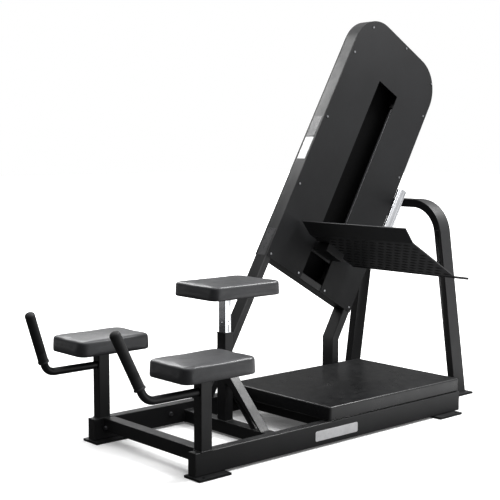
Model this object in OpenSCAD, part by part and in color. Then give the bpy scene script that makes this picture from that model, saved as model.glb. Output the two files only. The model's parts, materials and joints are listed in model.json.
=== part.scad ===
// Plate-loaded hip thrust machine: a low base with arm rests and a belly rest, a standing
// platform, and an inclined guide tower whose footplate carriage is pushed up against plates.
// +X runs from the handles to the tower, +Y to the tower's side, +Z up.

/* [Base] */
// Length of the two long base rails
base_len = 1745; // [1400:5:2000]
// Overall width over the two rails
base_w = 802; // [700:2:900]
// Rail height
rail_h = 100; // [60:5:120]
// Rail width
rail_w = 50; // [40:5:80]
// Wall of the square and rectangular tubes
wall = 3; // [2:0.5:5]
// Thickness of the steel foot plates
foot_t = 6; // [4:1:10]
// Thickness of the rubber under the foot plates
rubber_t = 4; // [2:1:8]

/* [Arm rests] */
// Front face of both arm posts
post_x = 28; // [0:1:80]
// Depth of an arm post along the machine
post_d = 60; // [40:5:80]
// Height of the top of the arm posts
post_top = 412; // [350:1:500]
// Pad length
pad_l = 394; // [300:2:450]
// Pad width
pad_w = 276; // [180:2:320]
// Pad thickness
pad_t = 74; // [40:1:90]
// Corner radius of the pads
pad_r = 44; // [10:2:80]
// Height of the handle bars
handle_z = 351; // [300:1:400]
// Handle tube diameter
handle_d = 35; // [28:1:40]
// Grip diameter
grip_d = 46; // [38:1:54]
// Straight length of the handle bar in front of the post
handle_l1 = 221; // [150:1:260]
// Length of the handle after its bend
handle_l2 = 272; // [180:1:300]
// Bend radius of the handle's centre line
handle_r = 60; // [40:5:90]
// Angle that the handle is bent through
handle_a = 68.7; // [50:0.1:90]
// Inward lean of the handles
handle_lean = 10.2; // [0:0.1:20]

/* [Belly rest] */
// Front face of the belly rest's post and of the tube it stands on
seat_x = 530; // [450:5:600]
// Centre of the post across the machine
seat_y = 471; // [380:1:520]
// Top of the outer post
seat_top = 480; // [400:5:520]
// Underside of the pad
seat_pad_z = 663; // [600:1:720]
// Length of the belly pad
seat_pad_l = 426; // [350:2:480]
// Width of the belly pad
seat_pad_w = 324; // [220:2:360]
// Thickness of the belly pad
seat_pad_t = 68; // [40:1:90]

/* [Platform] */
// Front end of the platform
deck_x = 789; // [700:1:900]
// Width of the platform
deck_w = 712; // [600:1:800]
// Height of the platform's top
deck_z = 168; // [140:1:200]

/* [Tower] */
// Slope of the tower
tower_a = 60; // [50:1:75]
// Front bottom corner of the tower
tower_x = 1045; // [900:5:1200]
// Near face of the tower
tower_y = 716; // [700:1:800]
// Height of the front bottom corner
tower_z = 800; // [700:5:900]
// Length of the tower along its slope
tower_len = 1535; // [1300:5:1700]
// Breadth of the tower square to its slope
tower_wid = 730; // [600:5:800]
// Depth of the tower's tubes
tube_dep = 80; // [60:5:100]
// Radius of the two top corners
tower_r = 190; // [80:5:250]
// Breadth of the front and top tubes
front_w = 40; // [30:5:60]
// Breadth of the rear tube
rear_w = 50; // [40:5:60]
// Thickness of the sheet covers
cover_t = 3; // [1:0.5:4]
// Front edge of the slot
slot_t0 = 282; // [200:1:320]
// Rear edge of the slot
slot_t1 = 455; // [400:1:500]
// Top end of the slot
slot_u = 1238; // [900:1:1300]
// Guide rod diameter
rod_d = 30; // [20:1:35]
// Distance of each guide rod from the slot's middle
rod_off = 130; // [90:1:150]

/* [Carriage] */
// Underside of the tread, along the slope
tread_u = 230; // [150:1:300]
// Front edge of the flat tread
tread_t0 = 215; // [180:1:260]
// Rear edge of the tread
tread_t1 = 600; // [500:1:650]
// Near end of the footplate
tread_y0 = -10; // [-60:1:40]
// Far end of the footplate
tread_y1 = 700; // [650:1:710]
// Thickness of the footplate
tread_th = 6; // [4:1:10]
// Diameter of the weight horn
horn_d = 50; // [25:1:52]
// Free end of the weight horn, along the slope
horn_u = 600; // [450:5:700]
// Play between a guide rod and its bearing
run_gap = 0.05; // [0.02:0.01:0.1]

/* [Rear arch] */
// Front face of the arch
arch_x = 2042; // [1950:1:2100]
// Breadth of the arch tube along the machine
arch_b = 90; // [60:5:100]
// Thickness of the arch tube
arch_t = 45; // [30:5:60]
// Outer foot of the near leg
arch_y0 = 251; // [150:1:350]
// Outer foot of the far leg
arch_y1 = 1101; // [1000:1:1200]
// Height of the arch
arch_z = 1064; // [900:1:1200]
// Outer bend radius
arch_r = 200; // [100:5:260]
// Splay of the legs from upright
arch_a = 8; // [0:0.5:15]

/* [Hidden] */
off_x = 1001.30;
off_y = 513;
floor_z = -(foot_t + rubber_t);
far_y = base_w - rail_w;
ca = cos(tower_a);
sa = sin(tower_a);
strut_x = tower_x - (tower_z - rail_h - 6) / tan(tower_a);
slot_c = (slot_t0 + slot_t1) / 2;
rod_y = cover_t + tube_dep / 2;
rod_f = slot_c - rod_off;
rod_b = slot_c + rod_off;
rod_u0 = front_w;
rod_u1 = 1275;
car_u0 = 170;
car_u1 = 330;
horn_y = (tread_y0 + tread_y1) / 2 - tower_y;
horn_t = 383;
anchor_x = [20, 1690];
anchor_y = [-24, 807];
pin_z = 330;
black = [0.06, 0.06, 0.065];
vinyl = [0.09, 0.09, 0.1];
steel = [0.8, 0.8, 0.82];

// ---- shared helpers ----
module place() { translate([-off_x, -off_y, -floor_z]) children(); }
// local frame of the tower: X up the slope, Y away from the near face, -Z across the slope
module tower() { place() translate([tower_x, tower_y, tower_z]) rotate([0, -tower_a, 0]) children(); }
module box(x0, x1, y0, y1, z0, z1) { translate([x0, y0, z0]) cube([x1 - x0, y1 - y0, z1 - z0]); }
module tbox(u0, u1, y0, y1, t0, t1) { translate([u0, y0, -t1]) cube([u1 - u0, y1 - y0, t1 - t0]); }
// hollow tubes along each axis
module tube_x(x0, x1, y0, y1, z0, z1) {
  difference() { box(x0, x1, y0, y1, z0, z1);
    box(x0 - 1, x1 + 1, y0 + wall, y1 - wall, z0 + wall, z1 - wall); } }
module tube_y(x0, x1, y0, y1, z0, z1) {
  difference() { box(x0, x1, y0, y1, z0, z1);
    box(x0 + wall, x1 - wall, y0 - 1, y1 + 1, z0 + wall, z1 - wall); } }
module tube_z(x0, x1, y0, y1, z0, z1) {
  difference() { box(x0, x1, y0, y1, z0, z1);
    box(x0 + wall, x1 - wall, y0 + wall, y1 - wall, z0 - 1, z1 + 1); } }
module rounded(l, w, r) {
  translate([-l / 2 + r, -w / 2]) square([l - 2 * r, w]);
  translate([-l / 2, -w / 2 + r]) square([l, w - 2 * r]);
  for (i = [-1, 1], j = [-1, 1]) translate([i * (l / 2 - r), j * (w / 2 - r)]) circle(r = r, $fn = 64); }
// a point of the tower's slope plane, in the machine's XZ plane
function px(u, t) = tower_x + u * ca + t * sa;
function pz(u, t) = tower_z + u * sa - t * ca;
module xz(y0, y1) { translate([0, y1, 0]) rotate([90, 0, 0]) linear_extrude(y1 - y0) children(); }
// tower outline with two rounded top corners, inset by e
module outline(e) {
  r = tower_r - e;
  translate([0, e]) square([tower_len - tower_r, tower_wid - 2 * e]);
  translate([0, tower_r]) square([tower_len - e, tower_wid - 2 * tower_r]);
  for (t = [tower_r, tower_wid - tower_r]) translate([tower_len - tower_r, t]) circle(r = r, $fn = 96); }
module slab(y0, y1) {
  translate([0, y1, 0]) rotate([90, 0, 0]) linear_extrude(y1 - y0) mirror([0, 1]) children(); }
module hex(d, h) { cylinder(d = d, h = h, $fn = 6); }

// ---- base ----
module base_rail_near() { color(black) place() tube_x(0, base_len, 0, rail_w, 0, rail_h); }
module base_rail_far() { color(black) place() tube_x(0, base_len, far_y, base_w, 0, rail_h); }
module end_cap() {
  translate([0, wall + 0.1, wall + 0.1]) cube([12, rail_w - 2 * wall - 0.2, rail_h - 2 * wall - 0.2]);
  translate([-2.5, 1, 1]) cube([2.5, rail_w - 2, rail_h - 2]); }
module rail_end_caps() { color(black) place() for (y = [0, far_y]) {
  translate([0, y, 0]) end_cap();
  translate([base_len, y, 0]) mirror([1, 0, 0]) end_cap(); } }
module front_cross_tube() { color(black) place() tube_y(50, 110, rail_w, far_y, 40, rail_h); }
module middle_cross_tube() { color(black) place() tube_y(seat_x, seat_x + 60, rail_w, far_y, 0, 60); }
module deck_cross_tubes() { color(black) place() for (x = [850, 1640])
  tube_y(x, x + 60, rail_w, far_y, 40, rail_h); }
module foot_shape() {
  for (y = [-43, deck_w]) for (x = [-15, 1545]) translate([x, y]) square([172, y < 0 ? 105 : 113]); }
module anchors() {
  for (x = anchor_x, y = anchor_y) translate([x, y, -20]) cylinder(r = 6.5, h = 40, $fn = 32); }
module arch_feet_shape() {
  for (y = [arch_y0 - 38, arch_y1 - 92]) translate([arch_x - 24, y]) square([130, 130]); }
module foot_plates() { color(black) place() difference() {
  translate([0, 0, -foot_t]) linear_extrude(foot_t) { foot_shape(); arch_feet_shape(); }
  anchors(); } }
module foot_rubbers() { color(black) place() difference() {
  translate([0, 0, floor_z]) linear_extrude(rubber_t) { foot_shape(); arch_feet_shape(); }
  anchors(); } }
module washer_bolt() { cylinder(d = 24, h = 2, $fn = 32); hex(19, 9); }
module frame_bolts() { color(steel) place() {
  for (y = [rail_w + 17, far_y - 17]) translate([50, y, 55]) rotate([0, -90, 0]) washer_bolt();
  translate([444, far_y, 54]) rotate([90, 0, 0]) washer_bolt();
  translate([444, rail_w, 54]) rotate([-90, 0, 0]) washer_bolt(); } }

// ---- arm rests ----
module arm_post(y) { color(black) place() tube_z(post_x, post_x + post_d, y, y + rail_w, rail_h, post_top); }
module arm_post_near() { arm_post(0); }
module arm_post_far() { arm_post(far_y); }
module arm_pad_plates() { color(black) place() for (y = [rail_w / 2, far_y + rail_w / 2])
  translate([post_x + post_d / 2, y, post_top]) linear_extrude(8) rounded(220, 150, 12); }
module arm_pad(y) { color(vinyl) place() translate([post_x + post_d / 2, y, post_top + 8])
  linear_extrude(pad_t) rounded(pad_l, pad_w, pad_r); }
module arm_pad_near() { arm_pad(rail_w / 2); }
module arm_pad_far() { arm_pad(far_y + rail_w / 2); }
// handle: local X runs forwards, local Y up in the leaning plane of the bend
module handle_frame(y, s) { place() translate([post_x, y, handle_z]) rotate([-s * handle_lean, 0, 0])
  mirror([1, 0, 0]) rotate([90, 0, 0]) children(); }
module handle_run(d, hole, h1, h2, from) {
  difference() { union() {
    if (from < 0) rotate([0, 90, 0]) cylinder(d = d, h = h1, $fn = 48);
    if (from < 0) translate([h1, handle_r, 0]) rotate([0, 0, -90]) rotate_extrude(angle = handle_a, $fn = 96)
      translate([handle_r, 0]) circle(d = d, $fn = 48);
    translate([h1, handle_r, 0]) rotate([0, 0, handle_a - 90]) translate([handle_r, max(from, 0), 0])
      rotate([-90, 0, 0]) cylinder(d = d, h = h2 - max(from, 0), $fn = 48); }
    if (hole > 0) translate([h1, handle_r, 0]) rotate([0, 0, handle_a - 90]) translate([handle_r, 0, 0])
      rotate([-90, 0, 0]) cylinder(d = hole, h = h2 - 6, $fn = 48); } }
module handle_bar(y, s) { color(black) handle_frame(y, s)
  handle_run(handle_d, 0, handle_l1, handle_l2 - 6, -1); }
module handle_bar_near() { handle_bar(rail_w / 2, 1); }
module handle_bar_far() { handle_bar(far_y + rail_w / 2, -1); }
module grip(y, s) { color(black) handle_frame(y, s) {
  handle_run(grip_d, handle_d, handle_l1, handle_l2, 14);
  translate([handle_l1, handle_r, 0]) rotate([0, 0, handle_a - 90])
    translate([handle_r, 0, 0]) rotate([-90, 0, 0])
    for (h = [14, handle_l2 - 3]) translate([0, 0, h]) difference() {
      cylinder(d = grip_d + 5, h = 6, $fn = 48);
      if (h < 100) translate([0, 0, -1]) cylinder(d = handle_d, h = 8, $fn = 48); } } }
module grip_near() { grip(rail_w / 2, 1); }
module grip_far() { grip(far_y + rail_w / 2, -1); }

// ---- belly rest ----
module seat_post() { color(black) place() difference() {
  tube_z(seat_x, seat_x + 50, seat_y - 30, seat_y + 30, 60, seat_top);
  translate([seat_x + 25, seat_y, pin_z]) rotate([0, 90, 0]) cylinder(d = 12.4, h = 40, $fn = 32); } }
module seat_post_liner() { color([0.03, 0.03, 0.03]) place() difference() {
  union() {
    box(seat_x + wall, seat_x + 50 - wall, seat_y - 30 + wall, seat_y + 30 - wall, seat_top - 60, seat_top);
    box(seat_x - 1, seat_x + 51, seat_y - 31, seat_y + 31, seat_top, seat_top + 4); }
  box(seat_x + 5.95, seat_x + 44.05, seat_y - 24.05, seat_y + 24.05, seat_top - 61, seat_top + 5); } }
module seat_brace() { color(black) place() {
  translate([seat_x + 54, 0, 0]) rotate([0, -90, 0]) linear_extrude(54) difference() {
    polygon([[60, seat_y - 281], [60, seat_y - 217], [249, seat_y - 30], [315, seat_y - 30]]);
    polygon([[59, seat_y - 276.5], [59, seat_y - 223], [245, seat_y - 32], [245, seat_y - 42]]); } } }
module seat_adjust_tube() { color(steel) place() difference() {
  tube_z(seat_x + 6, seat_x + 44, seat_y - 24, seat_y + 24, 215, seat_pad_z - 8);
  for (z = [pin_z - 100:50:pin_z + 200]) translate([seat_x - 10, seat_y, z]) rotate([0, 90, 0])
    cylinder(d = 13, h = 70, $fn = 32);
  translate([seat_x + 25, seat_y - 30, 538]) rotate([-90, 0, 0]) cylinder(d = 9, h = 12, $fn = 32);
  box(seat_x + 22, seat_x + 28, seat_y - 30, seat_y - 18, 488, 522); } }
module seat_pad_plate() { color(black) place() translate([seat_x + 25, seat_y, seat_pad_z - 8])
  linear_extrude(8) rounded(230, 150, 12); }
module seat_pad() { color(vinyl) place() translate([seat_x + 37, seat_y - 6, seat_pad_z])
  linear_extrude(seat_pad_t) rounded(seat_pad_l, seat_pad_w, pad_r); }
module pin_at() { place() translate([seat_x + 50, seat_y, pin_z]) rotate([0, 90, 0]) children(); }
module pin_housing() { color(black) pin_at() difference() {
  cylinder(d = 26, h = 34, $fn = 48);
  translate([0, 0, -1]) cylinder(d = 20, h = 31, $fn = 48);
  translate([0, 0, -1]) cylinder(d = 10.1, h = 40, $fn = 48); } }
module pull_pin() { color(steel) pin_at() {
  translate([0, 0, -5.4]) cylinder(d = 10, h = 57, $fn = 48);
  translate([0, 0, 1]) cylinder(d = 16, h = 3, $fn = 48); } }
module pull_pin_knob() { color(black) pin_at() translate([0, 0, 51.6]) { cylinder(d = 18, h = 4, $fn = 48);
  translate([0, 0, 4]) cylinder(d = 34, h = 14, $fn = 48);
  translate([0, 0, 18]) cylinder(d1 = 34, d2 = 24, h = 5, $fn = 48); } }
module pin_spring() { color(steel) pin_at() for (i = [0:5]) translate([0, 0, 6 + 4.4 * i])
  rotate_extrude($fn = 48) translate([7.2, 0]) circle(r = 0.9, $fn = 16); }

// ---- platform ----
module deck_supports() { color(black) place() for (y = [90, 560])
  tube_x(deck_x + 20, base_len - 20, y, y + 60, rail_h, deck_z - 3); }
module platform_deck() { color(black) place() difference() {
  box(deck_x, base_len, 0, deck_w, rail_h + 4, deck_z);
  box(deck_x + 3, base_len - 3, 3, deck_w - 3, rail_h - 1, deck_z - 3); } }

// ---- tower ----
module tower_front_tube() { color(black) place() {
  difference() {
    xz(tower_y + cover_t, tower_y + cover_t + tube_dep)
      polygon([[strut_x, rail_h + 6], [strut_x + front_w / sa, rail_h + 6],
        [px(tower_len - tower_r, front_w), pz(tower_len - tower_r, front_w)],
        [px(tower_len - tower_r, 0), pz(tower_len - tower_r, 0)]]);
    xz(tower_y + cover_t + wall, tower_y + cover_t + tube_dep - wall)
      polygon([[px(0, wall) - pz(0, wall) / tan(tower_a), 0],
        [px(0, front_w - wall) - pz(0, front_w - wall) / tan(tower_a), 0],
        [px(tower_len, front_w - wall), pz(tower_len, front_w - wall)],
        [px(tower_len, wall), pz(tower_len, wall)]]); }
  box(strut_x - 30, strut_x + 76, deck_w - 4, base_w, rail_h, rail_h + 6); } }
module rear_poly(e, ends) {
  x0 = 1545 + e; x1 = 1545 + rear_w - e;
  t0 = tower_wid - rear_w + e; t1 = tower_wid - e;
  u0 = (x0 - tower_x - t0 * sa) / ca; u1 = (x1 - tower_x - t1 * sa) / ca;
  ue = tower_len - tower_r + ends;
  polygon([[x0, rail_h + 6 - ends], [x1, rail_h + 6 - ends], [x1, pz(u1, t1)],
    [px(ue, t1), pz(ue, t1)], [px(ue, t0), pz(ue, t0)], [x0, pz(u0, t0)]]); }
module tower_rear_tube() { color(black) place() {
  difference() {
    xz(tower_y + cover_t, tower_y + cover_t + tube_dep) rear_poly(0, 0);
    xz(tower_y + cover_t + wall, tower_y + cover_t + tube_dep - wall) rear_poly(wall, 2); }
  box(1530, 1610, deck_w + 6, base_w, rail_h, rail_h + 6); } }
module band(e) { difference() { intersection() { outline(e);
    translate([tower_len - tower_r, -10]) square([400, 900]); }
  outline(front_w - e); } }
module tower_top_tube() { color(black) tower() difference() {
  slab(cover_t, cover_t + tube_dep) band(0);
  slab(cover_t + wall, cover_t + tube_dep - wall) difference() { outline(wall); outline(front_w - wall);
    translate([-10, -10]) square([tower_len - tower_r + 5, 900]); } } }
module tower_bottom_tube() { color(black) tower() difference() {
  tbox(0, front_w, cover_t, cover_t + tube_dep, front_w, tower_wid - rear_w);
  tbox(wall, front_w - wall, cover_t + wall, cover_t + tube_dep - wall,
    front_w - 1, tower_wid - rear_w + 1); } }
module tower_inner_bar() { color(black) tower() difference() {
  tbox(rod_u1, rod_u1 + 40, cover_t, cover_t + tube_dep, front_w, tower_wid - rear_w);
  tbox(rod_u1 + wall, rod_u1 + 37, cover_t + wall, cover_t + tube_dep - wall, front_w - 1, tower_wid); } }
module screw_holes() { for (p = screw_at) translate([p[0], p[1]]) circle(d = 7, $fn = 24); }
screw_at = [[22, 24], [438, 24], [850, 24], [1264, 28], [22, 255], [22, 484], [24, 708], [440, 708],
  [852, 708], [1264, 708], [1464, 88], [1518, 381], [1466, 677]];
module near_cover() { color(black) tower() slab(0, cover_t) difference() {
  outline(0);
  translate([-1, slot_t0]) square([slot_u + 1, slot_t1 - slot_t0]);
  screw_holes(); } }
module far_cover() { color(black) tower() slab(cover_t + tube_dep, 2 * cover_t + tube_dep) difference() {
  outline(0);
  screw_holes(); } }
module cover_screws() { color(steel) tower() for (p = screw_at) {
  translate([p[0], 0, -p[1]]) rotate([-90, 0, 0]) { cylinder(d = 6.8, h = cover_t, $fn = 24);
    translate([0, 0, -2.5]) cylinder(d = 12, h = 2.5, $fn = 32); }
  translate([p[0], cover_t + tube_dep, -p[1]]) rotate([-90, 0, 0]) { cylinder(d = 6.8, h = cover_t, $fn = 24);
    translate([0, 0, cover_t]) cylinder(d = 12, h = 2.5, $fn = 32); } } }
module guide_rod(t) { color(steel) tower() translate([rod_u0, rod_y, -t]) rotate([0, 90, 0])
  cylinder(d = rod_d, h = rod_u1 - rod_u0, $fn = 64); }
module guide_rod_front() { guide_rod(rod_f); }
module guide_rod_rear() { guide_rod(rod_b); }
module on_rod(t, u) { translate([u, rod_y, -t]) rotate([0, 90, 0]) children(); }
module rod_clamps() { color(black) tower() for (t = [rod_f, rod_b], u = [rod_u0, 1205]) difference() {
  tbox(u, u + (u > 100 ? rod_u1 - 1205 : 40), rod_y - 26, rod_y + 26, t - 26, t + 26);
  on_rod(t, u - 1) cylinder(d = rod_d, h = 80, $fn = 64); } }
module stop_bumpers() { color([0.03, 0.03, 0.03]) tower() for (t = [rod_f, rod_b]) {
  on_rod(t, rod_u0 + 40) difference() { cylinder(d = 48, h = car_u0 - rod_u0 - 40, $fn = 64);
    translate([0, 0, -1]) cylinder(d = rod_d, h = 200, $fn = 64); }
  on_rod(t, 1180) difference() { cylinder(d = 48, h = 25, $fn = 64);
    translate([0, 0, -1]) cylinder(d = rod_d, h = 40, $fn = 64); } } }
module label_plates() { tower() {
  color([0.9, 0.9, 0.9]) tbox(575, 710, rod_y - 30, rod_y + 30, -1.2, 0);
  color([0.25, 0.25, 0.26]) tbox(714, 838, rod_y - 30, rod_y + 30, -1.2, 0);
  color([0.25, 0.25, 0.26]) tbox(0, 158, rod_y - 30, rod_y + 30, -1.2, 0); } }
module rail_badge() { color([0.85, 0.85, 0.85]) place() translate([836, 0, 46]) rotate([90, 0, 0])
  linear_extrude(1.2) rounded(280, 47, 6); }

// ---- rear arch ----
module arch_half(o) {
  cy = arch_y0 + tan(arch_a) * (arch_z - arch_r) + arch_r / cos(arch_a);
  cz = arch_z - arch_r;
  ro = arch_r - o; ri = arch_r - arch_t + o;
  polygon([[arch_y0 + o / cos(arch_a), 0], [cy - ro * cos(arch_a), cz + ro * sin(arch_a)],
    [cy - ri * cos(arch_a), cz + ri * sin(arch_a)], [arch_y0 + (arch_t - o) / cos(arch_a), 0]]);
  translate([cy, cz]) intersection() {
    difference() { circle(r = ro, $fn = 96); circle(r = ri, $fn = 96); }
    polygon([[0, 0], [-400 * cos(arch_a), 400 * sin(arch_a)], [-400, 400], [0, 400]]); }
  translate([cy, arch_z - arch_t + o]) square([(arch_y0 + arch_y1) / 2 - cy, arch_t - 2 * o]); }
module arch_shape(o) { arch_half(o);
  translate([arch_y0 + arch_y1, 0]) mirror([1, 0]) arch_half(o); }
module rear_arch() { color(black) place() translate([arch_x, 0, 0]) rotate([90, 0, 90]) difference() {
  linear_extrude(arch_b) arch_shape(0);
  translate([0, 0, wall]) linear_extrude(arch_b - 2 * wall) arch_shape(wall); } }
module arch_bracket() { color(black) place() {
  z0 = arch_z - arch_t; xa = tower_x + tower_wid * sa;
  u0 = (z0 - 60 - tower_z + tower_wid * ca) / sa; u1 = (z0 - 2 - tower_z + tower_wid * ca) / sa;
  xz(tower_y + 12, tower_y + 60) polygon([[xa + u0 * ca, z0 - 60], [arch_x + 60, z0 - 8], [arch_x + 60, z0],
    [arch_x, z0], [arch_x, z0 + 4], [xa + (u1 + 7) * ca, z0 + 4]]); } }

// ---- carriage ----
module carriage_plate() { color(black) tower()
  tbox(car_u0, car_u1, rod_y - 35, rod_y - 25, rod_f - 30, rod_b + 30); }
module housing(t) { color(black) tower() for (u = [car_u0, car_u1 - 75]) difference() {
  tbox(u, u + 75, rod_y - 25, rod_y + 25, t - 25, t + 25);
  on_rod(t, u - 1) cylinder(d = rod_d + 8, h = 80, $fn = 64); } }
module housing_front() { housing(rod_f); }
module housing_rear() { housing(rod_b); }
module bearing_liners() { color([0.75, 0.72, 0.6]) tower() for (t = [rod_f, rod_b], u = [car_u0, car_u1 - 75])
  on_rod(t, u) difference() { cylinder(d = rod_d + 8, h = 75, $fn = 64);
    translate([0, 0, -1]) cylinder(d = rod_d + 2 * run_gap, h = 80, $fn = 64); } }
module carriage_arm() { color(black) tower() difference() {
  tbox(tread_u - 48, tread_u, -90, rod_y - 35, slot_c - 68, slot_c + 68);
  tbox(tread_u - 43, tread_u - 5, -85, rod_y - 34, slot_c - 63, slot_c + 63); } }
module carriage_gussets() { color(black) tower() for (t = [slot_c - 68, slot_c + 60])
  translate([0, 0, -t - 8]) linear_extrude(8) {
    polygon([[tread_u + tread_th, tread_y1 - tower_y], [tread_u + tread_th, -260], [tread_u + 16, -260],
      [car_u1 - 6, rod_y - 35], [tread_u + tread_th, rod_y - 35]]); } }
module foot_section() {
  polygon([[tread_u, tread_t1], [tread_u, tread_t0], [tread_u + 36, tread_t0 - 87],
    [tread_u + 41.5, tread_t0 - 84.7], [tread_u + 6, tread_t0 + 1.2], [tread_u + 6, tread_t1]]); }
module footplate() { color(black) tower() slab(tread_y0 - tower_y, tread_y1 - tower_y) foot_section(); }
module footplate_edge_bar() { color(black) tower()
  tbox(tread_u - 2, tread_u + 8, tread_y0 - tower_y - 80, tread_y1 - tower_y, tread_t1, tread_t1 + 8); }
module on_horn(u) { translate([u, horn_y, -horn_t]) rotate([0, 90, 0]) children(); }
module weight_horn() { color(steel) tower() on_horn(tread_u + tread_th) difference() {
  union() {
    cylinder(d = horn_d - 2, h = 10, $fn = 96);
    translate([0, 0, 10]) cylinder(d = horn_d, h = horn_u - 14 - tread_u - tread_th, $fn = 96); }
  translate([0, 0, -1]) cylinder(d = horn_d - 8, h = 500, $fn = 96); } }
module horn_collar() { color(black) tower() on_horn(tread_u + tread_th) difference() {
  cylinder(d = 130, h = 10, $fn = 96);
  translate([0, 0, -1]) cylinder(d = horn_d - 2, h = 12, $fn = 96); } }
module horn_cap() { color(steel) tower() on_horn(horn_u - 4) {
  translate([0, 0, -14]) cylinder(d = horn_d - 8, h = 14, $fn = 96);
  cylinder(d = horn_d, h = 2, $fn = 96);
  translate([0, 0, 2]) cylinder(d1 = horn_d, d2 = horn_d - 6, h = 2, $fn = 96); } }
module carriage_bolts() { color(steel) tower()
  for (t = [rod_f, rod_b], u = [car_u0 + 37, car_u1 - 37], k = [-15, 15])
    translate([u + k, rod_y - 35, -t]) rotate([90, 0, 0]) hex(13, 3.5); }

base_rail_near();
base_rail_far();
rail_end_caps();
front_cross_tube();
middle_cross_tube();
deck_cross_tubes();
foot_plates();
foot_rubbers();
frame_bolts();
arm_post_near();
arm_post_far();
arm_pad_plates();
arm_pad_near();
arm_pad_far();
handle_bar_near();
handle_bar_far();
grip_near();
grip_far();
seat_post();
seat_post_liner();
seat_brace();
pin_housing();
deck_supports();
platform_deck();
tower_front_tube();
tower_rear_tube();
tower_top_tube();
tower_bottom_tube();
tower_inner_bar();
near_cover();
far_cover();
cover_screws();
guide_rod_front();
guide_rod_rear();
rod_clamps();
stop_bumpers();
rear_arch();
arch_bracket();
label_plates();
rail_badge();
carriage_plate();
housing_front();
housing_rear();
bearing_liners();
carriage_arm();
carriage_gussets();
footplate();
footplate_edge_bar();
weight_horn();
horn_collar();
horn_cap();
carriage_bolts();
seat_adjust_tube();
seat_pad_plate();
seat_pad();
pull_pin();
pull_pin_knob();
pin_spring();
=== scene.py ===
"""Plate-loaded hip thrust machine: finishes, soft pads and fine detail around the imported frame."""
import json
import math

import bmesh
import bpy
import numpy as np
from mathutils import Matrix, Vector


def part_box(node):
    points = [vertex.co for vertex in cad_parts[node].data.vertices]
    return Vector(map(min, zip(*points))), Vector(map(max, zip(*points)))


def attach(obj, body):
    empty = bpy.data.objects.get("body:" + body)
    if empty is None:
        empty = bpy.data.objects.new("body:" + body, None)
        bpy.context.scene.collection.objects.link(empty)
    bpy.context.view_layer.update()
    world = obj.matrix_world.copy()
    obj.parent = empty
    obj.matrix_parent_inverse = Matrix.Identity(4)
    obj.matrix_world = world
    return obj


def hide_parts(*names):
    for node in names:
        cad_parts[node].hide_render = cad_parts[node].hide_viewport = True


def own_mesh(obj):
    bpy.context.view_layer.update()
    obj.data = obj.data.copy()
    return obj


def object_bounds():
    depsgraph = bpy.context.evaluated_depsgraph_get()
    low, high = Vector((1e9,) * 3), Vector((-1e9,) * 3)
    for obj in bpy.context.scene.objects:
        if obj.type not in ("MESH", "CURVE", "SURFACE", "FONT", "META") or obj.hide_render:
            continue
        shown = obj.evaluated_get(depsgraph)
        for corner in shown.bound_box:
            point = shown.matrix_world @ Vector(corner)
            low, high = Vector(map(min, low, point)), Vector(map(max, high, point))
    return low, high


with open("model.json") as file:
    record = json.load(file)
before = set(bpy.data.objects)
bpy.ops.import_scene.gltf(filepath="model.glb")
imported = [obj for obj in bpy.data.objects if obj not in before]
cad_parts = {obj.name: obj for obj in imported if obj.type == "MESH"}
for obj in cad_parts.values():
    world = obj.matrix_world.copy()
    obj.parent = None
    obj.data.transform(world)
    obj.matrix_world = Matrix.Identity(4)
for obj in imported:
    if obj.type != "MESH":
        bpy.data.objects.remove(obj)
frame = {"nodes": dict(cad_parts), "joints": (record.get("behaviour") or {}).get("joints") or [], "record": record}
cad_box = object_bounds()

NODES = frame["nodes"]
RECORD = frame["record"]
TUBE_EDGE = 0.0042          # outer edge radius of rectangular tube
PAD_VOXEL = 0.006
PAD_CROWN = 0.005
PAD_SWELL = 0.0022          # how far the foam may push the cover out
PAD_INSET = 0.003           # the pads start this much smaller
WALL_DARK, WALL_LIGHT, WINDOW_LIGHT, CEILING_LIGHT = 0.01, 0.16, 0.85, 1.6
FLOOR_GLOW, BOUNCE = 0.12, 2.1   # floor brightness added for the eye, and for the machine

# ---------------------------------------------------------------- frame helpers
slide = next(j for j in frame["joints"] if j["name"] == "carriage_slide")
horn = next(m for m in RECORD["mounts"] if m["name"] == "weight_horn")
UP_RAIL = Vector(slide["axis"]).normalized()          # up the slope
ACROSS = Vector((0, 1, 0)).cross(UP_RAIL).normalized()  # square to the slope, to the rear
ACROSS = ACROSS if ACROSS.x > 0 else -ACROSS
SIDE = Vector((0, 1, 0))


def extent(node, axis):
    """Lowest and highest value of a node's points along an axis."""
    d = [v.co.dot(axis) for v in NODES[node].data.vertices]
    return min(d), max(d)


def at(u, y, t):
    """A point from its places along the slope, across the machine and square to the slope."""
    return UP_RAIL * u + SIDE * y + ACROSS * t


def new_object(name, bm, mat, body, replaced=(), smooth=35):
    mesh = bpy.data.meshes.new(name)
    bm.normal_update()
    bm.to_mesh(mesh)
    bm.free()
    mesh.materials.append(mat)
    if smooth:
        mesh.shade_smooth()
        mesh.set_sharp_from_angle(angle=math.radians(smooth))
    obj = bpy.data.objects.new(name, mesh)
    bpy.context.scene.collection.objects.link(obj)
    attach(obj, body)
    if replaced:
        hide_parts(*replaced)
    return obj


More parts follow.
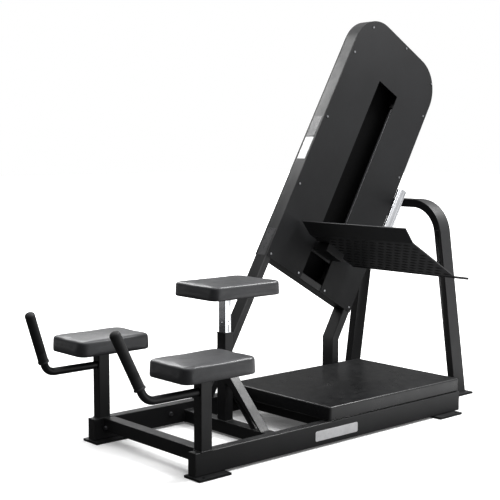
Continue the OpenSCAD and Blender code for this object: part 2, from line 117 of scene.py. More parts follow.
# ---------------------------------------------------------------- materials
class Shade:
    """One procedural material; every texture sits on the piece's own coordinates, in metres."""

    def __init__(self, name):
        self.mat = bpy.data.materials.new(name)
        self.mat.use_nodes = True
        self.tree = self.mat.node_tree
        self.bsdf = self.tree.nodes["Principled BSDF"]
        self.coords = self.node("ShaderNodeTexCoord").outputs["Object"]
        self.height = None

    def node(self, kind, **values):
        n = self.tree.nodes.new(kind)
        for key, value in values.items():
            setattr(n, key, value)
        return n

    def link(self, a, b):
        self.tree.links.new(a, b)

    def set(self, **values):
        for key, value in values.items():
            self.bsdf.inputs[key.replace("_", " ")].default_value = value
        return self

    def noise(self, scale, detail=3.0, rough=0.5):
        n = self.node("ShaderNodeTexNoise")
        n.inputs["Scale"].default_value = scale
        n.inputs["Detail"].default_value = detail
        n.inputs["Roughness"].default_value = rough
        self.link(self.coords, n.inputs["Vector"])
        return n.outputs["Fac"]

    def cells(self, scale, feature="F1"):
        n = self.node("ShaderNodeTexVoronoi", feature=feature)
        n.inputs["Scale"].default_value = scale
        self.link(self.coords, n.inputs["Vector"])
        return n.outputs["Distance"]

    def band(self, value, low, high, out_low, out_high):
        n = self.node("ShaderNodeMapRange")
        for key, v in (("From Min", low), ("From Max", high), ("To Min", out_low), ("To Max", out_high)):
            n.inputs[key].default_value = v
        self.link(value, n.inputs["Value"])
        return n.outputs["Result"]

    def math(self, op, a, b):
        n = self.node("ShaderNodeMath", operation=op)
        for i, v in enumerate((a, b)):
            if isinstance(v, (int, float)):
                n.inputs[i].default_value = v
            else:
                self.link(v, n.inputs[i])
        return n.outputs[0]

    def mix(self, factor, a, b):
        n = self.node("ShaderNodeMix", data_type="RGBA")
        self.link(factor, n.inputs["Factor"])
        for key, v in ((6, a), (7, b)):
            if isinstance(v, tuple):
                n.inputs[key].default_value = (*v, 1.0)
            else:
                self.link(v, n.inputs[key])
        return n.outputs[2]

    def upward(self):
        """1 on faces that look up, 0 on the others: where dust lies."""
        geo = self.node("ShaderNodeNewGeometry")
        sep = self.node("ShaderNodeSeparateXYZ")
        self.link(geo.outputs["Normal"], sep.inputs[0])
        return self.band(sep.outputs["Z"], 0.6, 1.0, 0.0, 1.0)

    def colour(self, value):
        self.link(value, self.bsdf.inputs["Base Color"])
        return self

    def rough(self, value):
        self.link(value, self.bsdf.inputs["Roughness"])
        return self

    def bump(self, value, strength, distance):
        n = self.node("ShaderNodeBump")
        n.inputs["Strength"].default_value = strength
        n.inputs["Distance"].default_value = distance
        self.link(value, n.inputs["Height"])
        if self.height is not None:
            self.link(self.height, n.inputs["Normal"])
        self.height = n.outputs["Normal"]
        self.link(self.height, self.bsdf.inputs["Normal"])
        return self


def powder_coat(name, dark, light, rough, grain=900.0, peel=0.12, level=0.5):
    """Baked powder paint: fine pimples over a slow orange peel, with a little dust on top."""
    s = Shade(name)
    speck = s.band(s.noise(1500.0, 2.0), 0.35, 0.7, 0.0, 1.0)
    cloud = s.band(s.noise(3.5, 4.0), 0.35, 0.65, 0.0, 1.0)
    tone = s.mix(s.math("MULTIPLY", speck, 0.6), dark, light)
    tone = s.mix(s.math("MULTIPLY", cloud, 0.35), tone, tuple(c * 1.25 for c in light))
    dust = s.math("MULTIPLY", s.upward(), s.band(s.noise(22.0, 6.0, 0.6), 0.45, 0.75, 0.0, 0.22))
    s.colour(s.mix(dust, tone, (0.09, 0.088, 0.085)))
    wear = s.band(s.noise(9.0, 5.0, 0.6), 0.3, 0.7, -0.05, 0.06)
    s.rough(s.math("ADD", s.math("ADD", wear, rough), s.math("MULTIPLY", dust, 0.4)))
    s.bump(s.noise(grain, 2.0, 0.6), 0.22, 0.0003)
    s.bump(s.noise(220.0, 2.0), peel, 0.0006)
    return s.set(Coat_Weight=0.12, Coat_Roughness=0.3, Specular_IOR_Level=level).mat


def vinyl():
    """Upholstery vinyl: shallow leather grain, soft folds and faint body-oil shine on top."""
    s = Shade("pad_vinyl")
    grain = s.cells(420.0, "SMOOTH_F1")
    pores = s.noise(1400.0, 2.0, 0.6)
    cloud = s.band(s.noise(7.0, 4.0, 0.6), 0.3, 0.7, 0.0, 1.0)
    tone = s.mix(cloud, (0.040, 0.041, 0.044), (0.060, 0.061, 0.065))
    tone = s.mix(s.band(grain, 0.35, 0.75, 0.0, 0.5), tone, (0.022, 0.022, 0.024))
    s.colour(tone)
    s.rough(s.math("ADD", s.band(s.noise(16.0, 5.0, 0.6), 0.3, 0.7, 0.27, 0.38), s.math("MULTIPLY", grain, 0.05)))
    s.bump(grain, 0.18, 0.0005)
    s.bump(pores, 0.1, 0.0002)
    s.bump(s.noise(26.0, 3.0), 0.14, 0.002)
    return s.set(Sheen_Weight=0.12, Sheen_Roughness=0.45, Specular_IOR_Level=0.55).mat


def rubber(name="black_rubber", scale=700.0):
    s = Shade(name)
    s.colour(s.mix(s.band(s.noise(60.0, 5.0), 0.3, 0.7, 0.0, 1.0), (0.016, 0.016, 0.017), (0.032, 0.032, 0.033)))
    s.rough(s.band(s.noise(30.0, 4.0), 0.3, 0.7, 0.55, 0.75))
    s.bump(s.noise(scale, 3.0), 0.3, 0.0005)
    return s.mat


def grip_rubber():
    """Foam-like grip rubber with a fine woven knurl moulded into it."""
    s = Shade("grip_rubber")
    knurl = s.cells(520.0)
    s.colour(s.mix(s.band(knurl, 0.2, 0.7, 0.0, 1.0), (0.03, 0.03, 0.031), (0.014, 0.014, 0.015)))
    s.rough(s.band(s.noise(45.0, 4.0), 0.3, 0.7, 0.5, 0.68))
    s.bump(knurl, 0.4, 0.0006)
    return s.mat


def plastic(name, dark, light):
    s = Shade(name)
    s.colour(s.mix(s.noise(40.0, 4.0), dark, light))
    s.rough(s.band(s.noise(25.0, 4.0), 0.3, 0.7, 0.38, 0.52))
    s.bump(s.noise(1100.0, 2.0), 0.15, 0.0003)
    return s.mat


def chrome():
    """Polished chrome plate with faint smears and small duller flecks."""
    s = Shade("chrome_plate")
    smear = s.band(s.noise(14.0, 6.0, 0.65), 0.4, 0.75, 0.0, 1.0)
    fleck = s.band(s.noise(260.0, 3.0, 0.6), 0.55, 0.75, 0.0, 1.0)
    s.colour(s.mix(smear, (0.70, 0.71, 0.73), (0.58, 0.59, 0.61)))
    s.rough(s.math("ADD", s.math("MULTIPLY", smear, 0.06), s.math("ADD", s.math("MULTIPLY", fleck, 0.03), 0.15)))
    return s.set(Metallic=1.0).mat


def ground_steel():
    """Centreless-ground guide rod under a thin oil film: satin, with cloudy oil marks."""
    s = Shade("ground_steel")
    lay = s.noise(300.0, 3.0, 0.6)
    s.colour(s.mix(lay, (0.30, 0.30, 0.31), (0.20, 0.20, 0.21)))
    s.rough(s.band(s.noise(20.0, 5.0), 0.3, 0.7, 0.36, 0.5))
    return s.set(Metallic=0.75).mat


def painted_shade():
    """Near-black matt sheet: painted shade for the dark inside of the tower."""
    s = Shade("dark_painted_shade")
    # near-black colour with almost no gloss: painted shade
    s.colour(s.mix(s.noise(300.0, 5.0, 0.7), (0.003, 0.003, 0.003), (0.008, 0.008, 0.0085)))
    s.rough(s.band(s.noise(90.0, 4.0), 0.3, 0.7, 0.9, 1.0))
    s.bump(s.noise(900.0, 3.0), 0.5, 0.001)
    return s.set(Specular_IOR_Level=0.1).mat


def zinc():
    s = Shade("zinc_steel")
    flake = s.cells(900.0)
    s.colour(s.mix(flake, (0.42, 0.42, 0.43), (0.3, 0.31, 0.33)))
    s.rough(s.band(s.noise(120.0, 4.0), 0.3, 0.7, 0.26, 0.4))
    s.bump(s.noise(700.0, 2.0), 0.12, 0.0002)
    return s.set(Metallic=1.0).mat


def film(name, dark, light, rough=0.3):
    s = Shade(name)
    s.colour(s.mix(s.band(s.noise(30.0, 5.0), 0.35, 0.7, 0.0, 1.0), light, dark))
    s.rough(s.band(s.noise(80.0, 3.0), 0.3, 0.7, rough - 0.05, rough + 0.08))
    s.bump(s.noise(400.0, 2.0), 0.05, 0.0002)
    return s.mat


MAT = {
    "powder_coat": powder_coat("powder_coat", (0.008, 0.0082, 0.009), (0.019, 0.0195, 0.021), 0.42),
    "cover_paint": powder_coat("cover_paint", (0.007, 0.0072, 0.008), (0.014, 0.0145, 0.016), 0.56, 700.0, level=0.3),
    "deck_paint": powder_coat("deck_paint", (0.008, 0.0082, 0.009), (0.018, 0.0185, 0.020), 0.3, 1100.0, 0.06),
    "tread_paint": powder_coat("tread_paint", (0.02, 0.0205, 0.022), (0.042, 0.0425, 0.045), 0.42, 800.0),
    "pad_vinyl": vinyl(),
    "black_rubber": rubber(),
    "grip_rubber": grip_rubber(),
    "black_plastic": plastic("black_plastic", (0.016, 0.016, 0.017), (0.03, 0.03, 0.032)),
    "bearing_plastic": plastic("bearing_plastic", (0.6, 0.57, 0.48), (0.7, 0.67, 0.58)),
    "chrome_plate": chrome(),
    "ground_steel": ground_steel(),
    "dark_painted_shade": painted_shade(),
    "zinc_steel": zinc(),
    "label_white": film("label_white", (0.72, 0.72, 0.73), (0.82, 0.82, 0.83)),
    "label_gray": film("label_gray", (0.05, 0.05, 0.053), (0.08, 0.08, 0.083)),
    "label_pale": film("label_pale", (0.60, 0.60, 0.61), (0.68, 0.68, 0.69)),
}
FINISH = {p["node"]: p["material_slot"] for p in RECORD["subparts"]}
SPECIAL = {"grip_near": "grip_rubber", "grip_far": "grip_rubber", "footplate": "tread_paint",
           "label_plates": "label_gray", "rail_badge": "label_pale",
           "guide_rod_front": "ground_steel", "guide_rod_rear": "ground_steel"}


def finish_of(node):
    """The material a CAD node wears."""
    return MAT[SPECIAL.get(node, FINISH[node])]


for name, obj in NODES.items():
    obj.data.materials.clear()
    obj.data.materials.append(finish_of(name))


# ---------------------------------------------------------------- tubes with rounded edges
CURVED = {"rear_arch", "tower_top_tube"}    # bent tubes, whose long edges are chains of short ones


def body_name(node):
    """The moving body that a CAD node belongs to."""
    return next(b for b, members in RECORD["behaviour"]["bodies"].items() if node in members)


def soften(node, radius=TUBE_EDGE, least=0.13, face=0.0009, segments=3):
    """A copy of a CAD tube whose long outer edges are rounded, as drawn tube's are."""
    bm = bmesh.new()
    bm.from_mesh(NODES[node].data)
    bmesh.ops.remove_doubles(bm, verts=bm.verts, dist=1e-6)
    bmesh.ops.dissolve_limit(bm, angle_limit=math.radians(0.8), verts=bm.verts, edges=bm.edges)
    bm.normal_update()
    edges = [e for e in bm.edges if e.is_manifold and e.is_convex
             and e.calc_face_angle(0.0) > math.radians(50)
             and min(f.calc_area() for f in e.link_faces) > face
             and (node in CURVED or e.calc_length() > least)]
    bmesh.ops.bevel(bm, geom=edges, offset=radius, offset_type="OFFSET", segments=segments, profile=0.5,
                    affect="EDGES", clamp_overlap=True)
    made = new_object(node + "_rounded", bm, finish_of(node), body_name(node), (node,), smooth=42)
    keep = made.modifiers.new("face_weights", "WEIGHTED_NORMAL")
    keep.keep_sharp = True
    keep.weight = 90
    return made


for tube in ("base_rail_near", "base_rail_far", "front_cross_tube", "middle_cross_tube", "deck_cross_tubes",
             "arm_post_near", "arm_post_far", "seat_post", "seat_brace", "deck_supports",
             "tower_front_tube", "tower_rear_tube", "tower_top_tube", "tower_bottom_tube", "rear_arch"):
    soften(tube)
soften("seat_adjust_tube", radius=0.003)


# ---------------------------------------------------------------- soft pads
def rounded_outline(half_x, half_y, r, steps=8):
    points = []
    for qx, qy, start in ((1, 1, 0), (-1, 1, 90), (-1, -1, 180), (1, -1, 270)):
        for i in range(steps + 1):
            a = math.radians(start + 90 * i / steps)
            points.append((qx * (half_x - r) + r * math.cos(a), qy * (half_y - r) + r * math.sin(a)))
    return points


def pad_body(lo, hi, corner, inset):
    """A closed rounded block inside a box: a small radius below, a wider one above."""
    centre = (lo + hi) / 2
    half_x, half_y = (hi.x - lo.x) / 2 - inset, (hi.y - lo.y) / 2 - inset
    bottom, top = lo.z, hi.z - inset
    low_r, top_r = 0.004, 0.011
    rings = []
    for i in range(5):
        a = math.radians(90 * i / 4)
        rings.append((bottom + low_r * (1 - math.cos(a)), low_r * (1 - math.sin(a))))
    for i in range(7):
        a = math.radians(90 * i / 6)
        rings.append((top - top_r * (1 - math.sin(a)), top_r * (1 - math.cos(a))))
    bm = bmesh.new()
    loops = []
    for z, shrink in rings:
        outline = rounded_outline(half_x - shrink, half_y - shrink, corner - shrink)
        loops.append([bm.verts.new((centre.x + x, centre.y + y, z)) for x, y in outline])
    for a, b in zip(loops, loops[1:]):
        for i in range(len(a)):
            j = (i + 1) % len(a)
            bm.faces.new((a[i], a[j], b[j], b[i]))
    bm.faces.new(loops[0][::-1])
    bm.faces.new(loops[-1])
    return bm


def pad(node, corner=0.042):
    lo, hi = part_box(node)
    bm = pad_body(lo, hi, corner, PAD_INSET)
    made = new_object(node + "_cushion", bm, MAT["pad_vinyl"], body_name(node), (node,), smooth=None)
    bpy.ops.object.select_all(action="DESELECT")
    bpy.context.view_layer.objects.active = made
    made.select_set(True)
    mesh = made.data
    mesh.remesh_voxel_size = PAD_VOXEL
    bpy.ops.object.voxel_remesh()
    start = [v.co.copy() for v in made.data.vertices]
    held = made.vertex_groups.new(name="board")
    held.add([i for i, p in enumerate(start) if p.z < lo.z + 0.006], 1.0, "REPLACE")
    cloth = made.modifiers.new("foam", "CLOTH")
    cloth.settings.use_pressure = True
    cloth.settings.uniform_pressure_force = 4.0
    cloth.settings.effector_weights.gravity = 0.0
    cloth.settings.vertex_group_mass = "board"
    cloth.settings.tension_stiffness = 60
    cloth.settings.bending_stiffness = 12
    cloth.collision_settings.use_collision = False
    scene = bpy.context.scene
    for f in range(1, 21):
        scene.frame_set(f)
    dg = bpy.context.evaluated_depsgraph_get()
    blown = [v.co.copy() for v in made.evaluated_get(dg).data.vertices]
    made.modifiers.remove(cloth)
    scene.frame_set(1)
    for v, p, q in zip(made.data.vertices, start, blown):
        step = q - p
        if step.length > PAD_SWELL:
            step *= PAD_SWELL / step.length
        v.co = p + step
    relax = made.modifiers.new("relax", "SMOOTH")
    relax.factor, relax.iterations = 0.5, 8
    fine = made.modifiers.new("fine", "SUBSURF")
    fine.levels = fine.render_levels = 1
    for m in ("relax", "fine"):
        bpy.ops.object.modifier_apply(modifier=m)
    points = [v.co for v in made.data.vertices]
    for axis in (0, 1):               # the sewn cover fits its board, so its outline is the pad's own
        low, high = min(p[axis] for p in points), max(p[axis] for p in points)
        grow = (hi[axis] - lo[axis]) / (high - low)
        for p in points:
            p[axis] = (hi[axis] + lo[axis]) / 2 + (p[axis] - (low + high) / 2) * grow
    middle, half = (lo + hi) / 2, (hi - lo) / 2
    for p in points:                  # the foam is thickest in the middle
        rise = 1 - min(1.0, ((p.x - middle.x) / half.x) ** 2)
        rise *= 1 - min(1.0, ((p.y - middle.y) / half.y) ** 2)
        p.z += PAD_CROWN * rise * max(0.0, (p.z - middle.z) / half.z)
        p.z = max(p.z, lo.z)
    made.data.shade_smooth()
    made.data.materials.clear()
    made.data.materials.append(MAT["pad_vinyl"])
    return made


for name in ("arm_pad_near", "arm_pad_far", "seat_pad"):
    pad(name)


# ---------------------------------------------------------------- platform tray
def deck_tray():
    """The platform: one pressed sheet with rounded corners, folded down on all four sides."""
    lo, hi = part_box("platform_deck")
    centre = (lo + hi) / 2
    half = (hi - lo) / 2
    corner, edge, sheet, hem = 0.016, 0.009, 0.003, 0.0028

    def loop(inset, z):
        r = max(corner - inset, 0.002)
        return [Vector((centre.x + x, centre.y + y, z))
                for x, y in rounded_outline(half.x - inset, half.y - inset, r, 6)]

    quarter = [math.radians(90 * i / 5) for i in range(6)]
    outer = [loop(hem, lo.z), loop(0.0, lo.z + hem)]
    outer += [loop(edge * (1 - math.cos(a)), hi.z - edge * (1 - math.sin(a))) for a in quarter]
    inner_r = edge - sheet
    inner = [loop(sheet + inner_r * (1 - math.cos(a)), hi.z - sheet - inner_r * (1 - math.sin(a)))
             for a in reversed(quarter)]
    inner += [loop(sheet, lo.z + hem), loop(sheet - hem, lo.z)]
    bm = bmesh.new()
    rings = [[bm.verts.new(p) for p in ring] for ring in outer + inner]
    count = len(rings[0])
    top, under = len(outer) - 1, len(outer)
    for k in range(len(rings)):
        if k == top:
            continue
        a, b = rings[k], rings[(k + 1) % len(rings)]
        for i in range(count):
            bm.faces.new((a[i], a[(i + 1) % count], b[(i + 1) % count], b[i]))
    bm.faces.new(rings[top])
    bm.faces.new(rings[under][::-1])
    bmesh.ops.recalc_face_normals(bm, faces=bm.faces)
    new_object("platform_tray", bm, MAT["deck_paint"], "frame", ("platform_deck",), smooth=40)


deck_tray()


# ---------------------------------------------------------------- grips
def axis_of(node):
    """Centre, unit direction (upwards) and end distances of a long round node."""
    points = np.array([v.co for v in NODES[node].data.vertices])
    centre = points.mean(axis=0)
    direction = np.linalg.svd(points - centre, full_matrices=False)[2][0]
    direction = direction if direction[2] > 0 else -direction
    along = (points - centre) @ direction
    return Vector(centre), Vector(direction), float(along.min()), float(along.max())


def grip(node):
    """A slip-on rubber grip: a flared foot, a plain body with shallow rings and a domed end."""
    centre, up, low, high = axis_of(node)
    side = up.orthogonal().normalized()
    cross = up.cross(side)
    length = high - low
    # radii of the hole, the body and the flared foot
    bore, body, foot = 0.0176, 0.0228, 0.0253
    profile = [(0.0, bore), (0.0, foot - 0.0012), (0.0012, foot), (0.0058, foot), (0.0075, foot - 0.001),
               (0.009, body), (0.016, body)]
    for k in range(6):
        h = 0.022 + 0.006 * k
        profile += [(h, body), (h + 0.001, body - 0.0006), (h + 0.002, body)]
    profile += [(length * f, body) for f in (0.35, 0.5, 0.65, 0.8)]
    profile += [(length - body * (1 - math.sin(a)) * 0.75, body * math.cos(a))
                for a in (math.radians(9 * i) for i in range(10))]
    around = 40
    bm = bmesh.new()
    rings = [[bm.verts.new(centre + up * (low + h) + (side * math.cos(a) + cross * math.sin(a)) * r)
              for a in (2 * math.pi * i / around for i in range(around))] for h, r in profile]
    for a, b in zip(rings, rings[1:]):
        for i in range(around):
            bm.faces.new((a[i], a[(i + 1) % around], b[(i + 1) % around], b[i]))
    tip = bm.verts.new(centre + up * high)
    for i in range(around):
        bm.faces.new((rings[-1][i], rings[-1][(i + 1) % around], tip))
    bm.faces.new(rings[0][::-1])
    bmesh.ops.recalc_face_normals(bm, faces=bm.faces)
    new_object(node + "_sleeve", bm, MAT["grip_rubber"], "frame", (node,), smooth=40)


for name in ("grip_near", "grip_far"):
    grip(name)


# ---------------------------------------------------------------- tread lugs
def tread_lugs():
    """Staggered lens-shaped lugs raised on the face of the tread that meets the foot."""
    face = extent("footplate", UP_RAIL)[0]
    plate = NODES["footplate"].data.vertices
    flat = [v.co.dot(ACROSS) for v in plate if abs(v.co.dot(UP_RAIL) - face) < 0.001]
    t0, t1 = min(flat) + 0.016, max(flat) - 0.012
    lo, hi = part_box("footplate")
    y0, y1 = lo.y + 0.02, hi.y - 0.02
    rows, columns = 10, 12
    half_l, half_w, high = 0.0235, 0.0100, 0.0030      # half length, half width and height of a lug
    around, shells = 16, 3
    bm = bmesh.new()
    for r in range(rows):
        t = t0 + (t1 - t0) * (r + 0.5) / rows
        pitch = (y1 - y0) / columns
        for c in range(columns):
            y = y0 + pitch * (c + (0.25 if r % 2 else 0.75))
            rings = []
            for k in range(shells):
                f = 1 - k / shells
                h = high * (1 - f * f)
                rings.append([bm.verts.new(at(face - h, y + f * half_l * math.cos(a),
                              t + f * half_w * math.sin(a) * (1 - 0.35 * abs(math.cos(a)))))
                              for a in (2 * math.pi * i / around for i in range(around))])
            top = bm.verts.new(at(face - high, y, t))
            for a, b in zip(rings, rings[1:]):
                for i in range(around):
                    bm.faces.new((a[i], a[(i + 1) % around], b[(i + 1) % around], b[i]))
            for i in range(around):
                bm.faces.new((rings[-1][i], rings[-1][(i + 1) % around], top))
            bm.faces.new(rings[0][::-1])
    bmesh.ops.recalc_face_normals(bm, faces=bm.faces)
    return new_object("tread_lugs", bm, MAT["black_rubber"], "carriage", smooth=60)


tread_lugs()


# ---------------------------------------------------------------- plates and labels
def plate(name, corners, normal, thick, radius, mat, body, replaced=(), slot="label_film"):
    """A thin plate with rounded corners; corners are its four points on the face it sits on."""
    a, b, c, d = corners
    x_axis, y_axis = (b - a), (d - a)
    half_x, half_y = x_axis.length / 2, y_axis.length / 2
    centre = (a + c) / 2
    x_axis.normalize()
    y_axis.normalize()
    bm = bmesh.new()
    loops = []
    for h, shrink in ((0.0, 0.0), (thick * 0.7, 0.0), (thick, thick * 0.3)):
        outline = rounded_outline(half_x - shrink, half_y - shrink, radius - shrink, 6)
        loops.append([bm.verts.new(centre + x_axis * x + y_axis * y + normal * h) for x, y in outline])
    for p, q in zip(loops, loops[1:]):
        for i in range(len(p)):
            j = (i + 1) % len(p)
            bm.faces.new((p[i], p[j], q[j], q[i]))
    bm.faces.new(loops[0][::-1])
    bm.faces.new(loops[-1])
    bmesh.ops.recalc_face_normals(bm, faces=bm.faces)
    return new_object(name, bm, mat, body, replaced, smooth=30)


def tower_labels():
    """Plain plates on the tower's narrow front face, with no lettering."""
    u0, u1 = extent("label_plates", UP_RAIL)
    t_face = extent("label_plates", ACROSS)[1]
    lo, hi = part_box("label_plates")
    out = -ACROSS
    span = u1 - u0
    parts = (("label_low", 0.0, 0.188, "label_gray"), ("label_white", 0.686, 0.847, "label_white"),
             ("label_head", 0.852, 1.0, "label_gray"))
    for name, f0, f1, mat in parts:
        a, b = u0 + span * f0, u0 + span * f1
        corners = [at(a, lo.y, t_face), at(b, lo.y, t_face), at(b, hi.y, t_face), at(a, hi.y, t_face)]
        plate(name, corners, out, 0.0011, 0.004, MAT[mat], "frame",
              ("label_plates",) if name == "label_white" else ())


tower_labels()


def shade_sheet():
    """A near-black sheet on the inside of the tower's far cover: painted shade, seen through the slot."""
    u1 = extent("tower_inner_bar", UP_RAIL)[0]
    u0 = extent("tower_bottom_tube", UP_RAIL)[1]
    t0, t1 = extent("tower_bottom_tube", ACROSS)
    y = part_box("far_cover")[0].y
    corners = [at(u0, y, t0), at(u1, y, t0), at(u1, y, t1), at(u0, y, t1)]
    # near-black sheet over the far cover's inside: painted shade
    plate("tower_shade_sheet", corners, Vector((0, -1, 0)), 0.0015, 0.004, MAT["dark_painted_shade"], "frame", slot="black_rubber")


shade_sheet()


def badge():
    """A plain plate on the near rail, with no lettering."""
    lo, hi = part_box("rail_badge")
    z0, z1 = lo.z, hi.z
    corners = [Vector((lo.x, hi.y, z0)), Vector((hi.x, hi.y, z0)), Vector((hi.x, hi.y, z1)), Vector((lo.x, hi.y, z1))]
    plate("rail_nameplate", corners, Vector((0, -1, 0)), 0.0011, 0.008, MAT["label_pale"], "frame", ("rail_badge",))


badge()


# ---------------------------------------------------------------- weld beads
def weld(name, points, body, radius=0.0032, closed=True):
    """A rippled weld bead along a path of corner points."""
    path = []
    legs = list(zip(points, points[1:] + points[:1])) if closed else list(zip(points, points[1:]))
    for a, b in legs:
        n = max(2, int((b - a).length / 0.0035))
        path += [a.lerp(b, i / n) for i in range(n)]
    bm = bmesh.new()
    rings = []
    count = len(path)
    for i, p in enumerate(path):
        ahead, behind = path[(i + 1) % count], path[i - 1]
        if not closed and i in (0, count - 1):
            ahead, behind = path[min(i + 1, count - 1)], path[max(i - 1, 0)]
        d = (ahead - behind).normalized()
        side = d.cross(Vector((0, 0, 1)))
        side = side.normalized() if side.length > 0.1 else d.cross(Vector((0, 1, 0))).normalized()
        up = side.cross(d)
        r = radius * (1.0 + 0.22 * math.sin(i * 1.9))
        rings.append([bm.verts.new(p + (side * math.cos(k) + up * math.sin(k)) * r)
                      for k in (2 * math.pi * j / 8 for j in range(8))])
    last = count if closed else count - 1
    for i in range(last):
        a, b = rings[i], rings[(i + 1) % count]
        for j in range(8):
            bm.faces.new((a[j], a[(j + 1) % 8], b[(j + 1) % 8], b[j]))
    if not closed:
        bm.faces.new(rings[0])
        bm.faces.new(rings[-1][::-1])
    bmesh.ops.recalc_face_normals(bm, faces=bm.faces)
    return new_object(name, bm, MAT["powder_coat"], body, smooth=60)


def loop_at(lo, hi, z):
    """The four corners of a box at one height."""
    return [Vector((lo.x, lo.y, z)), Vector((hi.x, lo.y, z)), Vector((hi.x, hi.y, z)), Vector((lo.x, hi.y, z))]


for post in ("arm_post_near", "arm_post_far"):
    lo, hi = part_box(post)
    weld(post + "_weld_low", loop_at(lo, hi, lo.z), "frame")
    weld(post + "_weld_top", loop_at(lo, hi, hi.z), "frame", 0.0026)
lo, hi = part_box("seat_post")
weld("seat_post_weld", loop_at(lo, hi, lo.z), "frame")
for tube in ("front_cross_tube", "middle_cross_tube"):
    lo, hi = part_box(tube)
    for tag, y in (("near", lo.y), ("far", hi.y)):
        ring = [Vector((lo.x, y, lo.z)), Vector((hi.x, y, lo.z)), Vector((hi.x, y, hi.z)), Vector((lo.x, y, hi.z))]
        weld(tube + "_weld_" + tag, ring, "frame", 0.0026)


def horn_weld():
    """The bead round the foot of the weight horn's flange."""
    centre = at(extent("horn_collar", UP_RAIL)[0], Vector(horn["pos_m"]).y, Vector(horn["pos_m"]).dot(ACROSS))
    r = (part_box("horn_collar")[1].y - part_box("horn_collar")[0].y) / 2
    ring = [centre + (SIDE * math.cos(a) + ACROSS * math.sin(a)) * r
            for a in (2 * math.pi * i / 48 for i in range(48))]
    weld("horn_collar_weld", ring, "carriage", 0.0026)


horn_weld()


# ---------------------------------------------------------------- pull-pin spring
def spring_coil():
    """A wound wire spring in the pin's housing."""
    lo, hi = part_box("pin_spring")
    wire, turns, steps, around = 0.0009, 5, 28, 8
    radius = (hi.z - lo.z) / 2 - wire
    first, last = lo.x + wire, hi.x - wire
    count = turns * steps
    bm = bmesh.new()
    rings = []
    for i in range(count + 1):
        a = 2 * math.pi * i / steps
        out = Vector((0, math.cos(a), math.sin(a)))
        centre = Vector((first + (last - first) * i / count, (lo.y + hi.y) / 2, (lo.z + hi.z) / 2)) + out * radius
        rings.append([bm.verts.new(centre + (out * math.cos(k) + Vector((1, 0, 0)) * math.sin(k)) * wire)
                      for k in (2 * math.pi * j / around for j in range(around))])
    for a, b in zip(rings, rings[1:]):
        for j in range(around):
            bm.faces.new((a[j], a[(j + 1) % around], b[(j + 1) % around], b[j]))
    bm.faces.new(rings[0])
    bm.faces.new(rings[-1][::-1])
    bmesh.ops.recalc_face_normals(bm, faces=bm.faces)
    coil = new_object("pin_spring_coil", bm, MAT["zinc_steel"], "frame", ("pin_spring",), 60)
    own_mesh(coil)


spring_coil()

# ---------------------------------------------------------------- floor, light and camera
floor_mat = Shade("floor_paint")
eye_ray = floor_mat.node("ShaderNodeLightPath").outputs["Is Camera Ray"]
place = floor_mat.node("ShaderNodeSeparateXYZ")
floor_mat.link(floor_mat.coords, place.inputs[0])
reach = floor_mat.node("ShaderNodeVectorMath", operation="LENGTH")
floor_mat.link(floor_mat.coords, reach.inputs[0])
beside = floor_mat.math("MULTIPLY", floor_mat.band(place.outputs["X"], -1.2, 1.2, 0.0, BOUNCE),
                        floor_mat.band(reach.outputs["Value"], 6.0, 9.0, 1.0, 0.15))
beside = floor_mat.math("MULTIPLY", beside, floor_mat.band(place.outputs["Y"], -0.5, -1.05, 0.04, 1.0))
beyond = floor_mat.math("MULTIPLY", floor_mat.band(place.outputs["Y"], 2.5, 4.5, 0.0, BOUNCE * 0.45),
                        floor_mat.band(reach.outputs["Value"], 4.5, 6.5, 0.0, 1.0))
bounce = floor_mat.math("ADD", beside, beyond)
pale = floor_mat.mix(floor_mat.noise(2.0, 4.0), (0.86, 0.86, 0.86), (0.9, 0.9, 0.9))
floor_mat.colour(floor_mat.mix(eye_ray, (0.05, 0.05, 0.05), pale))
floor_mat.rough(floor_mat.band(floor_mat.noise(6.0, 4.0), 0.3, 0.7, 0.6, 0.7))
floor_mat.set(Emission_Color=(1.0, 1.0, 1.0, 1.0), Specular_IOR_Level=0.1)
seen_glow = floor_mat.band(reach.outputs["Value"], 1.6, 5.0, FLOOR_GLOW, 1.0)
glow = floor_mat.math("ADD", floor_mat.math("MULTIPLY", eye_ray, seen_glow),
                      floor_mat.math("MULTIPLY", floor_mat.math("SUBTRACT", 1.0, eye_ray), bounce))
floor_mat.link(glow, floor_mat.bsdf.inputs["Emission Strength"])
bm = bmesh.new()
bmesh.ops.create_grid(bm, x_segments=1, y_segments=1, size=40.0)
floor = bpy.data.objects.new("floor", bpy.data.meshes.new("floor"))
bm.to_mesh(floor.data)
bm.free()
floor.data.materials.append(floor_mat.mat)
floor.location.z = cad_box[0].z - 0.0005
bpy.context.scene.collection.objects.link(floor)
bpy.context.scene.view_settings.view_transform = "Standard"
bpy.context.scene.view_settings.gamma = 0.85

world = bpy.data.worlds.new("studio")
bpy.context.scene.world = world
world.use_nodes = True
sky = world.node_tree
back = sky.nodes["Background"]


def sky_node(kind, **inputs):
    n = sky.nodes.new(kind)
    for key, value in inputs.items():
        n.inputs[key.replace("_", " ")].default_value = value
    return n


def sky_math(op, a, b):
    n = sky.nodes.new("ShaderNodeMath")
    n.operation = op
    for i, v in enumerate((a, b)):
        if isinstance(v, (int, float)):
            n.inputs[i].default_value = v
        else:
            sky.links.new(v, n.inputs[i])
    return n.outputs[0]


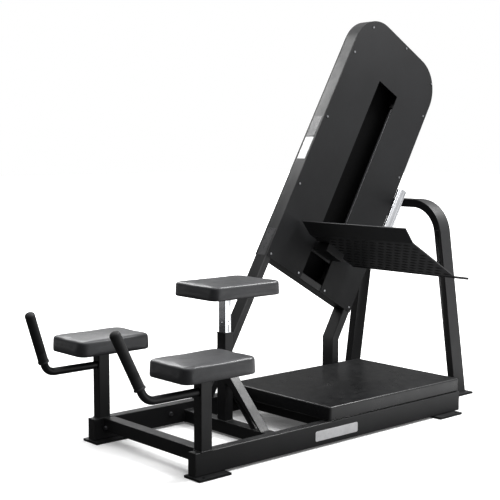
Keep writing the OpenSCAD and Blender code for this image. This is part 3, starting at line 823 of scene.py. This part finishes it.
# A white room for the eye. For the light it is dark in front of the handles, bright beside the near
# rail and overhead.
split = sky_node("ShaderNodeSeparateXYZ")
way = sky_node("ShaderNodeTexCoord").outputs["Generated"]
sky.links.new(way, split.inputs[0])
wall = sky_node("ShaderNodeMapRange", From_Min=-0.85, From_Max=0.15, To_Min=WALL_DARK, To_Max=WALL_LIGHT)
sky.links.new(split.outputs["X"], wall.inputs["Value"])
toward = sky_math("ADD", sky_math("MULTIPLY", split.outputs["X"], 0.62),
                  sky_math("MULTIPLY", split.outputs["Y"], -0.78))
window = sky_node("ShaderNodeMapRange", From_Min=0.1, From_Max=0.95, To_Min=0.0, To_Max=WINDOW_LIGHT)
sky.links.new(toward, window.inputs["Value"])
ceiling = sky_node("ShaderNodeMapRange", From_Min=0.4, From_Max=0.95, To_Min=0.0, To_Max=CEILING_LIGHT)
sky.links.new(split.outputs["Z"], ceiling.inputs["Value"])
lit = sky_math("ADD", sky_math("ADD", wall.outputs["Result"], window.outputs["Result"]),
               ceiling.outputs["Result"])
seen = sky_node("ShaderNodeLightPath").outputs["Is Camera Ray"]
sky.links.new(sky_math("MAXIMUM", lit, seen), back.inputs["Strength"])
back.inputs["Color"].default_value = (1.0, 1.0, 1.0, 1.0)


def softbox(name, place, target, size, power):
    """A rectangular light at a place, aimed at a target; power is in watts."""
    light = bpy.data.lights.new(name, "AREA")
    light.shape = "RECTANGLE"
    light.size, light.size_y = size
    light.energy = power
    obj = bpy.data.objects.new(name, light)
    obj.location = place
    obj.rotation_mode = "QUATERNION"
    obj.rotation_quaternion = (Vector(target) - Vector(place)).to_track_quat("-Z", "Y")
    bpy.context.scene.collection.objects.link(obj)


SOFTBOXES = (   # name, place, what it is aimed at, size in metres, power in watts
    ("key_box", (2.5, -1.0, 3.7), (-0.3, -0.3, 0.5), (1.3, 1.3), 150),    # high behind the machine, near side
    ("rear_box", (-0.3, 2.2, 3.4), (0.7, 0.25, 1.9), (1.3, 1.0), 34),     # far side, aimed at the tower
    ("back_box", (1.2, 4.4, 3.2), (0.3, 0.2, 0.9), (2.4, 2.0), 58),       # keeps the far side readable
    ("top_box", (-0.6, -0.6, 4.2), (-0.6, 0.0, 0.5), (2.0, 2.0), 45),     # over the pads
)
for box in SOFTBOXES:
    softbox(*box)

# The photo's camera, solved from the edges of the base.
EYE = Vector((-3.7243, -3.926, 1.371))
HEADING, DOWN = math.radians(48.49), math.radians(5.45)
look = Vector((math.cos(HEADING) * math.cos(DOWN), math.sin(HEADING) * math.cos(DOWN), -math.sin(DOWN)))
camera = bpy.data.objects.new("camera", bpy.data.cameras.new("camera"))
camera.data.sensor_width = 36.0
camera.data.lens = 77.9
camera.data.clip_end = 100.0
camera.location = EYE
camera.rotation_mode = "QUATERNION"
camera.rotation_quaternion = look.to_track_quat("-Z", "Y")
bpy.context.scene.collection.objects.link(camera)
bpy.context.scene.camera = camera
